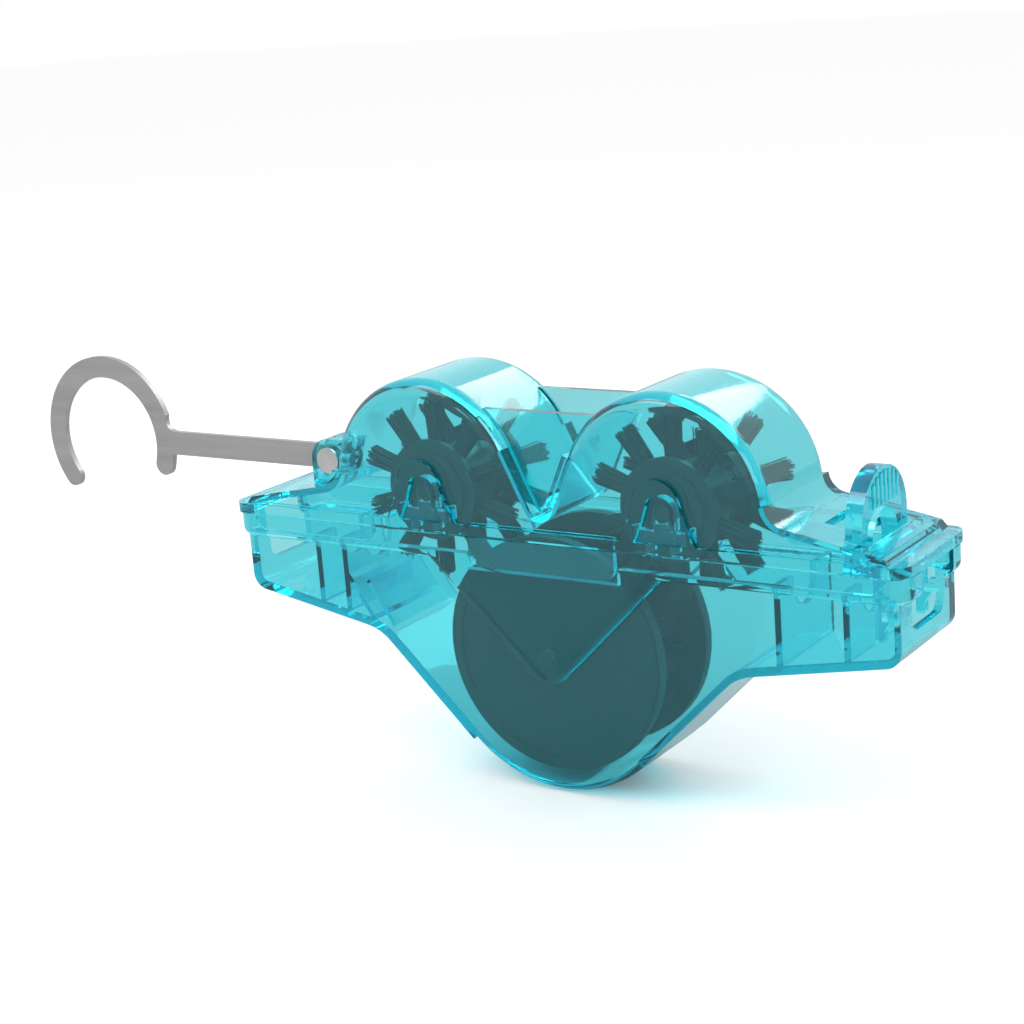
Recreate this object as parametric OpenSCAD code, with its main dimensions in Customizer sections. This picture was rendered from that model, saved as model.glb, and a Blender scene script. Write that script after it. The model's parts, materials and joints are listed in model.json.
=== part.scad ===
// Clip-on bicycle chain cleaner: a clear tank and lid, two brush wheels, a guide wheel and a steel hook arm.
// Origin: middle of the seam between lid and tank. +X runs along the chain to the latch, -Y is the front.

/* [Shell] */
// Length of the tank and lid over the lips
body_length = 178; // [177:0.5:182]
// Depth of the tank and lid over the lips
body_depth = 34.2; // [34:0.1:36]
// Wall thickness of the clear shells
wall = 1.8; // [1.4:0.1:2]

/* [Lid] */
// Outer radius of the two humps
hump_radius = 25.8; // [25.4:0.1:26.2]
// Distance between the axes of the two humps
hump_spacing = 63.2; // [62:0.2:65]
// Height of the hump axes over the seam
hump_height = 10; // [9.5:0.1:11]
// Height of the top edge of the webs between the humps
web_height = 29.5; // [26:0.5:31]
// Height of the wings where they leave the humps
wing_root_height = 8.4; // [8:0.1:9]
// Height of the wings at the ends of the lid
wing_tip_height = 4.3; // [4:0.1:4.8]
// Height of the raised band along the lower edge of the lid
collar_height = 2.7; // [2:0.1:3.2]
// Height of the arches over the brush axles
arch_height = 17.2; // [16:0.2:19]

/* [Tank] */
// Outer radius of the round bowl under the guide wheel
bowl_radius = 33; // [32.6:0.1:35]
// Depth of the guide wheel's axis under the seam
wheel_depth = 27.5; // [27:0.1:28]
// How far the lip stands out from the tank wall
lip_outset = 2.4; // [2.2:0.1:2.6]
// Height of the flat part of the lip
lip_height = 3.7; // [3.3:0.1:4.2]
// Height of the tank's end walls down to their lower corner
end_wall_height = 19.7; // [18:0.1:21]
// Width of the chain openings in the two ends
chain_opening_width = 17; // [12:0.5:17]
// Depth of the chain openings under the seam
chain_opening_depth = 13.6; // [11:0.2:14]

/* [Brush wheels] */
// Radius over the tips of the brush wheels
brush_radius = 21; // [19:0.2:21.4]
// Height of the brush axles over the seam
brush_height = 8.8; // [8.6:0.1:9.4]
// Tufts in each row of bristles
tufts_per_row = 10; // [8:1:11]
// Radius of the black end caps of the brush wheels
cap_radius = 12; // [10.5:0.5:13]
// Radius of the steel axles
axle_radius = 2; // [1.6:0.1:2.2]

/* [Guide wheel] */
// Radius of the two discs of the guide wheel
disc_radius = 28.2; // [26:0.2:28.6]
// Thickness of one disc
disc_thickness = 3; // [2.4:0.1:3.2]
// Radius over the tips of the scrubbing ring between the discs
scrub_radius = 24; // [20:0.5:25]
// Tufts in the scrubbing ring
scrub_tufts = 14; // [10:1:14]

/* [Hook arm] */
// Outer radius of the hook ring
hook_radius = 21.7; // [19:0.1:24]
// Width of the ring's band
hook_band = 5.5; // [4.5:0.1:6.5]
// Thickness of the steel sheet
hook_sheet = 1.5; // [1.2:0.1:1.7]
// Distance from the rivet to the middle of the ring
hook_reach = 75.4; // [70:0.2:90]
// Width of the straight arm
arm_width = 6; // [5:0.2:6.4]

/* [Latch] */
// Half width of the finger loop
latch_half_width = 11.7; // [10.5:0.1:11.8]
// Height of the top of the finger loop over the seam
latch_height = 19.6; // [18:0.2:24]
// Grip ribs on the finger loop
grip_ribs = 7; // [5:1:7]

/* [Hidden] */
$fn = 96;

aqua = [0.45, 0.86, 0.93];
aqua_dark = [0.3, 0.76, 0.86];
black_plastic = [0.13, 0.16, 0.17];
black_bristle = [0.07, 0.08, 0.09];
steel = [0.7, 0.69, 0.7];
bright_steel = [0.82, 0.8, 0.8];

// One overrun serves all cuts
overrun = 1;
// Gaps: at the seam, beside turning parts, around a turning shaft and around a shaft that is held
seam_gap = 0.2;
side_gap = 0.3;
running_gap = 0.05;
seat_gap = 0.02;

// The lid's front and back faces stand in from the collar by this much
collar_outset = 1.1;
lid_half_depth = body_depth / 2 - collar_outset;
hump_edge = 4;
hump_x = hump_spacing / 2;
fillet_radius = 5;
wing_root_x = 62;
wing_tip_setback = 5.5;
wing_tip_x = body_length / 2 - wing_tip_setback;
lid_corner = 3.9;
rocking_edge = 1.5;
lid_end_setback = 1.6;
lid_end_x = body_length / 2 - lid_end_setback;

// Hollow corners are this much rounder than a true tangent, so that their surfaces cross
crossing = 0.02;

// Valley between the humps: two straight flanks and a round bottom
valley_angle = 25;
valley_radius = 2.2;
web_thickness = 1.8;
web_bite = 0.7;
web_half_depth = lid_half_depth - hump_edge + web_bite;

// Skirt tabs that locate the lid inside the tank's lip
skirt_thickness = 1.5;
skirt_gap = 0.2;
skirt_centre_half = 19.5;
skirt_centre_drop = 7.3;
skirt_side_drop = 4;
skirt_side_start = 47;
skirt_side_end = 83;
skirt_corner = 3;

// Arches on the front and back of the lid
arch_band = 3.6;
arch_top_radius = 6;
arch_foot_half = 10.8;
arch_knee_half = 7.4;
arch_knee_height = 7.2;

// Tank walls
tank_half_depth = body_depth / 2 - lip_outset;
tank_half_length = body_length / 2 - lip_outset;
tank_edge = 2.4;
tank_corner = 4;
plan_corner = 3;
floor_angle = 10.45;
side_angle = 44.5;
floor_corner_setback = 4.5;
floor_corner_x = body_length / 2 - floor_corner_setback;
bend_radius = 12;
recess_wall = 2;
recess_depth = 4.4;
centre_recess_half = 20.4;
centre_recess_depth = 8.1;

// Raised V-shaped panels on the front and back of the tank
panel_angle = 44.5;
panel_tip_depth = 33.2;
panel_tip_radius = 4;

// Dividers, fins and posts inside the tank
divider_thickness = 1.5;
divider_places = [-66.5, -58.5, 57.5, 73.4];
divider_slot_half = 5.5;
divider_slot_depth = 7;
fin_thickness = 1.2;
fin_tops = [[-57.9, -14], [-51.9, -15]];
fin_lengths = [13, 11];
fin_angle = 57;
shelf_width = 2.7;
shelf_top = 8;
shelf_height = 2;

// Brush wheels
hub_radius = 7.1;
band_radius = 8.5;
band_half = 4.2;
ring_inner = 7.3;
row_place = 6.8;
row_half = 2.3;
hub_half = 9.2;
cap_thickness = 1.5;
cap_step_radius = 9;
cap_step = 0.5;
brush_axle_half = 13.4;
boss_start = 11.6;
boss_half = 3.6;
boss_top = 13;
boss_bottom = 5.4;
keeper_half = 6.3;
keeper_top = 5;
keeper_bottom = 2.4;
keeper_start = 11.6;
keeper_nub_half = 1.7;
keeper_leg_half = 3.1;
keeper_leg_width = 1.5;
keeper_leg_drop = 1.9;
keeper_rib = 1;

// Strands of the brush rows: columns and rows in one tuft, its root and how it spreads
tuft_columns = 4;
tuft_rows = 2;
tuft_root_share = 0.64;
tuft_spread_share = 1.45;
row_spread_share = 1.05;
strand_tip_share = 0.62;
strand_jag = 0.5;

// Guide wheel
disc_inner = 9.4;
wheel_hub_radius = 10;
wheel_collar_radius = 14;
wheel_collar = 2.2;
wheel_axle_half = 15.2;
scrub_inner = 10.2;
scrub_root = 12;
scrub_half = 4;
scrub_columns = 3;
scrub_rows = 3;
bracket_count = 8;
bracket_radius = 22.5;
bracket_long = 6.4;
bracket_short = 2.6;
bracket_rib = 1;
bracket_rise = 0.9;
disc_rim = 1.4;
disc_rim_rise = 0.35;

// Hook arm, rivet and fork
pivot_x = -60.6;
pivot_height = 14.3;
hook_drop = 0.1;
arm_y = -8.5;
fork_front = 12.7;
fork_back = 4.2;
fork_slot = 2.2;
fork_radius = 5.2;
fork_slot_bottom = 9.3;
rivet_radius = 1.7;
rivet_head_radius = 3.15;
rivet_head = 0.6;
washer_radius = 2.9;
washer_thickness = 0.5;
rivet_tail_radius = 2.3;
rivet_tail = 0.6;
ring_start_angle = -18;
ring_end_angle = 216;
hook_fillet = 3;

// Latch
latch_plate_x = 73.6;
latch_plate = 3.8;
latch_hole_half = 6.5;
latch_hole_top = 10.5;
latch_pivot_x = 78;
latch_pivot_height = 1.2;
latch_web_bottom = -1.3;
latch_web_top = 1.5;
latch_leg_x = 80;
latch_leg = 1.8;
latch_leg_inner = 9;
latch_leg_outer = 11.6;
latch_leg_bottom = -15.2;
barb_reach = 1.5;
barb_top = -10.3;
barb_height = 2.6;
trunnion_radius = 1.1;
trunnion_half = 13.2;
ear_half = 2.1;
rib_width = 0.9;
rib_rise = 0.6;
rib_pitch = 2;
rib_bottom = 11.6;
latch_way_gap = 0.4;
latch_tilt_gap = 1.5;
lens_slot_x = 66;
lens_slot_half = 5.5;

function meet(n1, c1, n2, c2) = let (d = n1[0] * n2[1] - n1[1] * n2[0])
    [(c1 * n2[1] - c2 * n1[1]) / d, (n1[0] * c2 - n2[0] * c1) / d];
function dot2(a, b) = a[0] * b[0] + a[1] * b[1];

// Extrudes a drawing of the X-Z plane along Y, evenly to both sides
module along_y(half) {
    rotate([90, 0, 0]) translate([0, 0, -half]) linear_extrude(2 * half) children();
}

// Extrudes a drawing of the X-Z plane from one depth to another
module across(from, to) {
    rotate([90, 0, 0]) translate([0, 0, -to]) linear_extrude(to - from) children();
}

// Makes a copy at the back of what is drawn at the front
module front_and_back() {
    children();
    mirror([0, 1, 0]) children();
}

// Makes a copy at the left of what is drawn at the right
module both_ends() {
    children();
    mirror([1, 0, 0]) children();
}

// A plan outline with round corners
module plan(half_length, half_depth, corner) {
    square([2 * half_length, 2 * (half_depth - corner)], center = true);
    square([2 * (half_length - corner), 2 * half_depth], center = true);
    for (x = [-1, 1], y = [-1, 1])
        translate([x * (half_length - corner), y * (half_depth - corner)]) circle(corner);
}

// Lid lines at a given inset
wing_turn = atan2(wing_tip_height - wing_root_height, wing_tip_x - wing_root_x);
wing_normal = [-sin(wing_turn), cos(wing_turn)];
wing_line = dot2(wing_normal, [wing_root_x, wing_root_height]);
hump_centre = [hump_x, hump_height];
wing_fillet_offset = dot2(wing_normal, hump_centre) - wing_line - fillet_radius;
fillet_run = sqrt(pow(hump_radius + fillet_radius, 2) - pow(wing_fillet_offset, 2));
fillet_centre = hump_centre - wing_fillet_offset * wing_normal
    + fillet_run * [wing_normal[1], -wing_normal[0]];
valley_normal = [-cos(valley_angle), sin(valley_angle)];
// Centre of the valley's round bottom, which both flanks touch
valley_centre = hump_height - (hump_x * cos(valley_angle) - hump_radius - valley_radius) / sin(valley_angle);

// Side view of the lid, or of its hollow when the inset is the wall
module lid_outline(inset, bottom) {
    apex = [0, valley_centre - (valley_radius + inset) / sin(valley_angle)];
    flank_top = hump_centre + (hump_radius - inset) * valley_normal;
    wing_start = fillet_centre - (fillet_radius + inset) * wing_normal;
    wing_back = wing_start - fillet_radius * [wing_normal[1], -wing_normal[0]];
    wing_end = [wing_tip_x, (wing_line - inset - wing_normal[0] * wing_tip_x) / wing_normal[1]];
    deep = 2 * valley_radius + inset;
    both_ends() {
        translate(hump_centre) circle(hump_radius - inset);
        polygon([apex, flank_top, hump_centre, [hump_x, bottom], [0, bottom]]);
        polygon([wing_back, wing_end, [lid_end_x - inset, bottom], [hump_x, bottom], hump_centre]);
        difference() {
            polygon([hump_centre, fillet_centre, fillet_centre - 2 * fillet_radius * wing_normal]);
            translate(fillet_centre) circle(fillet_radius + inset + crossing);
        }
    }
    difference() {
        polygon([[0, valley_centre], [0, valley_centre] - deep * valley_normal, apex,
            [0, valley_centre] - deep * [-valley_normal[0], valley_normal[1]]]);
        translate([0, valley_centre]) circle(valley_radius + inset + crossing);
    }
}

// The lid's outer shape
module lid_mass() {
    difference() {
        along_y(lid_half_depth) lid_outline(0, 0);
        both_ends() rim_round(hump_centre, hump_radius, lid_half_depth, hump_edge,
            [hump_centre + 2 * hump_radius * valley_normal, hump_centre + 2 * hump_radius * [0, 1],
            hump_centre + 2 * hump_radius * [1, 1],
            hump_centre
                + 2 * hump_radius / norm(fillet_centre - hump_centre) * (fillet_centre - hump_centre)]);
    }
}

// Outline of an arch, drawn around its own middle
module arch_outline(shrink) {
    top = arch_top_radius - shrink;
    knee = arch_knee_half - shrink;
    peak = arch_height - arch_top_radius;
    foot = arch_foot_half - shrink;
    translate([0, peak]) circle(top);
    polygon([[-top, peak], [top, peak], [knee, arch_knee_height], [foot, 0], [-foot, 0],
        [-knee, arch_knee_height]]);
}

module arch_band_outline() {
    difference() {
        arch_outline(0);
        arch_outline(arch_band);
        translate([-arch_foot_half, -arch_foot_half]) square([2 * arch_foot_half, arch_foot_half]);
    }
}

// Profile of one skirt tab, hanging under the lid with two round lower corners
module tab_outline(from, to, drop) {
    translate([from, skirt_corner - drop]) square([to - from, drop - skirt_corner + collar_height]);
    translate([from + skirt_corner, -drop]) square([to - from - 2 * skirt_corner, drop]);
    for (x = [from + skirt_corner, to - skirt_corner]) translate([x, skirt_corner - drop])
        circle(skirt_corner);
}

skirt_outer = body_depth / 2 - recess_wall - skirt_gap;
skirt_inner = skirt_outer - skirt_thickness;

module lid_skirt() {
    front_and_back() across(-skirt_outer, -skirt_inner) {
        tab_outline(-skirt_centre_half, skirt_centre_half, skirt_centre_drop);
        tab_outline(skirt_side_start, skirt_side_end, skirt_side_drop);
        tab_outline(-skirt_side_end, -skirt_side_start, skirt_side_drop);
    }
}

module lid_collar() {
    difference() {
        translate([0, 0, seam_gap])
            linear_extrude(collar_height - seam_gap) plan(body_length / 2, body_depth / 2, lid_corner);
        translate([0, 0, -overrun]) linear_extrude(collar_height + 2 * overrun)
            plan(body_length / 2 - collar_outset - 2 * wall, lid_half_depth - wall, lid_corner - wall);
        // The left lower edge is rounded, because the lid rocks on it
        translate([-body_length / 2, 0, seam_gap]) rotate([90, 0, 0])
            translate([0, 0, -body_depth]) linear_extrude(2 * body_depth) difference() {
                translate([-overrun, -overrun]) square(rocking_edge + overrun);
                translate([rocking_edge, rocking_edge]) circle(rocking_edge);
            }
    }
}

// U-shaped seats for the axle ends, on the inner faces of the lid
module axle_seats() {
    front_and_back() for (x = [-hump_x, hump_x]) translate([x, 0, 0]) {
        across(boss_start, lid_half_depth - wall / 2) difference() {
            union() {
                translate([-boss_half, boss_bottom])
                    square([2 * boss_half, boss_top - boss_bottom - boss_half]);
                translate([0, boss_top - boss_half]) circle(boss_half);
            }
            translate([0, brush_height]) circle(axle_radius + seat_gap);
            translate([-axle_radius - seat_gap, boss_bottom - overrun])
                square([2 * (axle_radius + seat_gap), brush_height - boss_bottom + overrun]);
        }
        for (side = [-1, 1]) across(boss_start, lid_half_depth - wall / 2)
            translate([side * (keeper_half + seat_gap + keeper_rib / 2) - keeper_rib / 2, collar_height])
                square([keeper_rib, keeper_top - collar_height + keeper_rib]);
    }
}

module fork() {
    difference() {
        translate([pivot_x, 0, 0]) across(-fork_front, -fork_back) {
            translate([0, pivot_height]) circle(fork_radius);
            translate([-fork_radius, wall]) square([2 * fork_radius, pivot_height - wall]);
            translate([0, wall]) square([fork_radius + wall, pivot_height + fork_radius - wall]);
        }
        translate([pivot_x - 2 * fork_radius, arm_y - fork_slot / 2, fork_slot_bottom])
            cube([4 * fork_radius, fork_slot, 3 * fork_radius]);
        translate([pivot_x, 0, pivot_height]) rotate([90, 0, 0])
            cylinder(r = rivet_radius + seat_gap, h = body_depth);
    }
}

// Blocks beside the latch that hold its two side pins
module latch_seats() {
    front_and_back() across(latch_half_width + side_gap + seat_gap, skirt_outer) difference() {
        translate([latch_pivot_x - ear_half, latch_pivot_height - ear_half])
            square([2 * ear_half, ear_half + wing_tip_height - wall / 2]);
        translate([latch_pivot_x, latch_pivot_height]) circle(trunnion_radius + running_gap);
    }
}

module lid() {
    color(aqua) difference() {
        union() {
            difference() {
                union() {
                    intersection() {
                        lid_mass();
                        translate([-body_length, -body_depth, seam_gap])
                            cube([2 * body_length, 2 * body_depth, 2 * latch_height + hump_radius]);
                    }
                    fork();
                    // Webs that close the valley at the front and the back
                    front_and_back() across(web_half_depth - web_thickness, web_half_depth) polygon([
                        [-hump_x / 2, web_height], [hump_x / 2, web_height], [hump_x / 2, collar_height],
                        [-hump_x / 2, collar_height]]);
                    front_and_back() across(lid_half_depth - wall, body_depth / 2) for (x = [-hump_x, hump_x])
                        translate([x, 0]) arch_band_outline();
                }
                along_y(lid_half_depth - wall) lid_outline(wall, -overrun);
                translate([-lid_end_x + wall, wall - lid_half_depth, -overrun])
                    cube([2 * (lid_end_x - wall), 2 * (lid_half_depth - wall), collar_height / 2 + overrun]);
            }
            lid_collar();
            lid_skirt();
            axle_seats();
            latch_seats();
        }
        // Way of the latch through the wing
        translate([latch_plate_x - latch_way_gap, -latch_half_width - side_gap, latch_web_bottom])
            cube([latch_plate + latch_way_gap + latch_tilt_gap, 2 * (latch_half_width + side_gap),
                latch_height]);
        translate([lens_slot_x, -lens_slot_half, wing_tip_height / 2])
            cube([latch_plate_x - lens_slot_x, 2 * lens_slot_half, latch_height]);
    }
}

// Tank lines at a given inset, as normals and distances
end_normal = [1, 0];
floor_normal = [sin(floor_angle), -cos(floor_angle)];
side_normal = [sin(side_angle), -cos(side_angle)];
floor_line = dot2(floor_normal, [floor_corner_x, -end_wall_height]);
side_line = dot2(side_normal, [0, -wheel_depth]) + bowl_radius;
corner_centre = meet(end_normal, tank_half_length - tank_corner, floor_normal, floor_line - tank_corner);
bend_centre = meet(floor_normal, floor_line + bend_radius, side_normal, side_line + bend_radius);

// Side view of the tank, or of its hollow when the inset is the wall
module tank_outline(inset, top) {
    corner = tank_corner - inset;
    bend = meet(floor_normal, floor_line - inset, side_normal, side_line - inset);
    bend_floor = bend_centre - (bend_radius + inset) * floor_normal;
    bend_side = bend_centre - (bend_radius + inset) * side_normal;
    end_low = corner_centre + corner * end_normal;
    intersection() {
        union() {
            translate([0, -wheel_depth]) circle(bowl_radius - inset);
            both_ends() {
                polygon([[0, -wheel_depth], [0, -wheel_depth] + (bowl_radius - inset) * side_normal, bend,
                    corner_centre + corner * floor_normal, corner_centre, end_low,
                    [end_low[0], wall], [0, wall]]);
                translate(corner_centre) circle(corner);
                difference() {
                    polygon([bend_floor, bend_centre, bend_side, bend + bend_radius * [-1, 1]]);
                    translate(bend_centre) circle(bend_radius + inset);
                }
            }
        }
        translate([-body_length, -2 * (wheel_depth + bowl_radius)])
            square([2 * body_length, 2 * (wheel_depth + bowl_radius) + top]);
    }
}

// Cuts the front and back rims of a disc round, over the part of it between two of its radii
module rim_round(centre, radius, half, edge, corners) {
    front_and_back() intersection() {
        translate([centre[0], 0, centre[1]]) rotate([90, 0, 0]) rotate_extrude() difference() {
            translate([radius - edge, half - edge]) square(2 * edge);
            translate([radius - edge, half - edge]) circle(edge);
        }
        across(-half - edge, edge - half) polygon(concat([centre], corners));
    }
}

// The tank's outer shape
module tank_mass() {
    centre = [0, -wheel_depth];
    low = centre - 2 * bowl_radius * [0, 1];
    difference() {
        along_y(tank_half_depth) tank_outline(0, 0);
        rim_round(centre, bowl_radius, tank_half_depth, tank_edge,
            [centre + 2 * bowl_radius * side_normal, low - bowl_radius * [0, 1],
            centre + 2 * bowl_radius * [-side_normal[0], side_normal[1]]]);
    }
}

// The lip around the top, with its lower edge rounded back to the wall
module tank_lip() {
    corner_x = tank_half_length - plan_corner;
    corner_y = tank_half_depth - plan_corner;
    translate([0, 0, -lip_height]) linear_extrude(lip_height)
        plan(body_length / 2, body_depth / 2, plan_corner + lip_outset);
    for (side = [-1, 1]) {
        translate([-corner_x, side * tank_half_depth, -lip_height]) rotate([0, 90, 0])
            cylinder(r = lip_outset, h = 2 * corner_x);
        translate([side * tank_half_length, corner_y, -lip_height]) rotate([90, 0, 0])
            cylinder(r = lip_outset, h = 2 * corner_y);
    }
    for (x = [-corner_x, corner_x], y = [-corner_y, corner_y]) translate([x, y, -lip_height])
        rotate_extrude() translate([plan_corner, 0]) circle(lip_outset);
}

// One raised V panel on the front wall
module v_panel() {
    leg = [cos(panel_angle), sin(panel_angle)];
    out = [sin(panel_angle), -cos(panel_angle)];
    tip_centre = [0, -panel_tip_depth + panel_tip_radius / cos(panel_angle)];
    foot = tip_centre + panel_tip_radius * out;
    run = (-lip_height - foot[1]) / leg[1];
    top = foot + run * leg;
    across(-body_depth / 2, -tank_half_depth + wall) {
        polygon([foot, top, [-top[0], top[1]], [-foot[0], foot[1]]]);
        translate(tip_centre) circle(panel_tip_radius);
    }
    translate([0, -tank_half_depth, 0]) {
        both_ends() translate([foot[0], 0, foot[1]]) rotate([0, 90 - panel_angle, 0])
            cylinder(r = lip_outset, h = run);
        translate([tip_centre[0], 0, tip_centre[1]]) rotate([90, 0, 0]) rotate_extrude()
            translate([panel_tip_radius, 0]) circle(lip_outset);
    }
}

module tank_dividers() {
    for (x = divider_places) translate([x, 0, 0]) rotate([90, 0, 90]) linear_extrude(divider_thickness)
        difference() {
            translate([-tank_half_depth, -2 * end_wall_height])
                square([2 * tank_half_depth, 2 * end_wall_height]);
            translate([0, -divider_slot_depth]) circle(divider_slot_half);
            translate([-divider_slot_half, -divider_slot_depth])
                square([2 * divider_slot_half, divider_slot_depth]);
        }
    for (i = [0, 1]) translate([fin_tops[i][0], -tank_half_depth, fin_tops[i][1]]) rotate([0, fin_angle, 0])
        cube([fin_lengths[i] + wall, 2 * tank_half_depth, fin_thickness]);
}

// Shelves in the right corners that the latch hooks under
module latch_shelves() {
    front_and_back()
        translate([tank_half_length - wall - shelf_width, -tank_half_depth, -shelf_top - shelf_height])
        cube([shelf_width + wall, tank_half_depth - chain_opening_width / 2, shelf_height]);
}

module lower_body() {
    recess_half = body_depth / 2 - recess_wall;
    color(aqua) difference() {
        union() {
            difference() {
                union() {
                    tank_mass();
                    tank_lip();
                    front_and_back() v_panel();
                }
                along_y(tank_half_depth - wall) tank_outline(wall, overrun);
            }
            intersection() {
                union() {
                    tank_dividers();
                    latch_shelves();
                }
                along_y(tank_half_depth - wall / 2) tank_outline(wall / 2, 0);
            }
        }
        // Recesses for the lid's skirt
        translate([wall - tank_half_length, -recess_half, -recess_depth])
            cube([2 * (tank_half_length - wall), 2 * recess_half, recess_depth + overrun]);
        translate([-centre_recess_half, -recess_half, -centre_recess_depth])
            cube([2 * centre_recess_half, 2 * recess_half, centre_recess_depth + overrun]);
        // Openings for the chain in both ends
        for (side = [-1, 1]) translate([side * body_length / 2, 0, 0]) rotate([90, 0, 90])
            translate([0, 0, -2 * tank_corner]) linear_extrude(4 * tank_corner) {
                translate([-chain_opening_width / 2, plan_corner - chain_opening_depth])
                    square([chain_opening_width, chain_opening_depth]);
                translate([plan_corner - chain_opening_width / 2, -chain_opening_depth])
                    square([chain_opening_width - 2 * plan_corner, chain_opening_depth]);
                for (y = [-1, 1]) translate([y * (chain_opening_width / 2 - plan_corner),
                    plan_corner - chain_opening_depth]) circle(plan_corner);
            }
        // Blind sockets for the guide wheel's axle
        translate([0, 0, -wheel_depth]) rotate([90, 0, 0]) translate([0, 0, -wheel_axle_half - seat_gap])
            cylinder(r = axle_radius + seat_gap, h = 2 * (wheel_axle_half + seat_gap));
    }
}

// Finger loop outline, drawn in the Y-Z plane
module loop_outline(half, top, bottom) {
    translate([0, top - half]) circle(half);
    translate([-half, bottom]) square([2 * half, top - half - bottom]);
}

module latch() {
    color(aqua_dark) {
        difference() {
            union() {
                translate([latch_plate_x, 0, 0]) rotate([90, 0, 90]) linear_extrude(latch_plate)
                    loop_outline(latch_half_width, latch_height, latch_web_bottom);
                // Grip ribs on the outer face
                intersection() {
                    for (i = [0:grip_ribs - 1])
                        translate([latch_plate_x + latch_plate - overrun,
                            (i - (grip_ribs - 1) / 2) * rib_pitch - rib_width / 2, rib_bottom])
                            cube([rib_rise + overrun, rib_width, latch_height]);
                    translate([latch_plate_x, 0, 0]) rotate([90, 0, 90])
                        linear_extrude(latch_plate + 2 * overrun)
                        loop_outline(latch_half_width - rib_width, latch_height - rib_width, 0);
                }
                translate([latch_plate_x, -latch_half_width, latch_web_bottom])
                    cube([latch_leg_x + latch_leg - latch_plate_x, 2 * latch_half_width,
                        latch_web_top - latch_web_bottom]);
                front_and_back() {
                    translate([latch_leg_x, -latch_leg_outer, latch_leg_bottom])
                        cube([latch_leg, latch_leg_outer - latch_leg_inner,
                            latch_web_top - latch_leg_bottom]);
                    across(-latch_leg_outer, -latch_leg_inner) polygon([
                        [latch_leg_x + latch_leg - latch_leg / 2, barb_top],
                        [latch_leg_x + latch_leg + barb_reach, barb_top],
                        [latch_leg_x + latch_leg, barb_top - barb_height],
                        [latch_leg_x + latch_leg - latch_leg / 2, barb_top - barb_height]]);
                }
            }
            translate([latch_plate_x - overrun, 0, 0]) rotate([90, 0, 90])
                linear_extrude(latch_plate + rib_rise + 2 * overrun)
                loop_outline(latch_hole_half, latch_hole_top, latch_web_top);
        }
        translate([latch_pivot_x, trunnion_half, latch_pivot_height]) rotate([90, 0, 0])
            cylinder(r = trunnion_radius, h = 2 * trunnion_half);
    }
}

// Flat steel sheet at the arm's depth, from a drawing of the X-Z plane
module hook_outline() {
    ring_centre = [pivot_x - hook_reach, pivot_height - hook_drop];
    middle = hook_radius - hook_band / 2;
    difference() {
        union() {
            translate(ring_centre) difference() {
                circle(hook_radius);
                rotate(ring_end_angle) square(2 * hook_radius);
                rotate(ring_start_angle - 90) square(2 * hook_radius);
            }
            for (angle = [ring_start_angle, ring_end_angle])
                translate(ring_centre + middle * [cos(angle), sin(angle)]) circle(hook_band / 2);
            translate([pivot_x - hook_reach + middle, pivot_height - arm_width / 2])
                square([hook_reach - middle, arm_width]);
            translate([pivot_x, pivot_height]) circle(arm_width / 2);
            translate([pivot_x - hook_reach + middle, pivot_height + arm_width / 2])
                square([hook_band / 2 + hook_fillet / 2, hook_fillet]);
        }
        translate([pivot_x - hook_reach + hook_radius + hook_fillet / 2,
            pivot_height + arm_width / 2 + hook_fillet]) circle(hook_fillet);
        translate(ring_centre) circle(hook_radius - hook_band);
        translate([pivot_x, pivot_height]) circle(rivet_radius + running_gap);
    }
}

module hook_arm() {
    color(steel) across(arm_y - hook_sheet / 2, arm_y + hook_sheet / 2) hook_outline();
}

module hook_rivet() {
    color(bright_steel) translate([pivot_x, 0, pivot_height]) rotate([90, 0, 0]) {
        translate([0, 0, fork_front]) cylinder(r = rivet_head_radius, h = rivet_head);
        translate([0, 0, fork_back - washer_thickness])
            cylinder(r = rivet_radius, h = fork_front - fork_back + washer_thickness);
        translate([0, 0, fork_back - washer_thickness - rivet_tail])
            cylinder(r = rivet_tail_radius, h = rivet_tail);
    }
}

module rivet_washer() {
    color(steel) translate([pivot_x, 0, pivot_height]) rotate([90, 0, 0])
        translate([0, 0, fork_back - washer_thickness]) difference() {
            cylinder(r = washer_radius, h = washer_thickness);
            translate([0, 0, -overrun])
                cylinder(r = rivet_radius + seat_gap, h = washer_thickness + 2 * overrun);
        }
}

// The clips that hold one axle's two ends up in their seats
module axle_keepers(x) {
    keeper_end = lid_half_depth - wall - seat_gap;
    nub_height = brush_height - axle_radius - keeper_top - seat_gap;
    color(aqua_dark) front_and_back() translate([x, 0, 0]) across(keeper_start, keeper_end) {
        translate([-keeper_half, keeper_bottom]) square([2 * keeper_half, keeper_top - keeper_bottom]);
        translate([-keeper_nub_half, keeper_top]) square([2 * keeper_nub_half, nub_height]);
        for (side = [-1, 1])
            translate([side * keeper_leg_half - keeper_leg_width / 2, keeper_bottom - keeper_leg_drop])
                square([keeper_leg_width, keeper_leg_drop]);
    }
}

module left_axle_keepers() {
    axle_keepers(-hump_x);
}

module right_axle_keepers() {
    axle_keepers(hump_x);
}

module brush_axle(x) {
    color(bright_steel) translate([x, brush_axle_half, brush_height]) rotate([90, 0, 0])
        cylinder(r = axle_radius, h = 2 * brush_axle_half);
}

module brush_hub(x) {
    color(black_plastic) translate([x, 0, brush_height]) rotate([90, 0, 0]) difference() {
        union() {
            translate([0, 0, -hub_half]) cylinder(r = hub_radius, h = 2 * hub_half);
            translate([0, 0, -band_half]) cylinder(r = band_radius, h = 2 * band_half);
        }
        translate([0, 0, -hub_half - overrun])
            cylinder(r = axle_radius + running_gap, h = 2 * (hub_half + overrun));
    }
}

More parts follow.
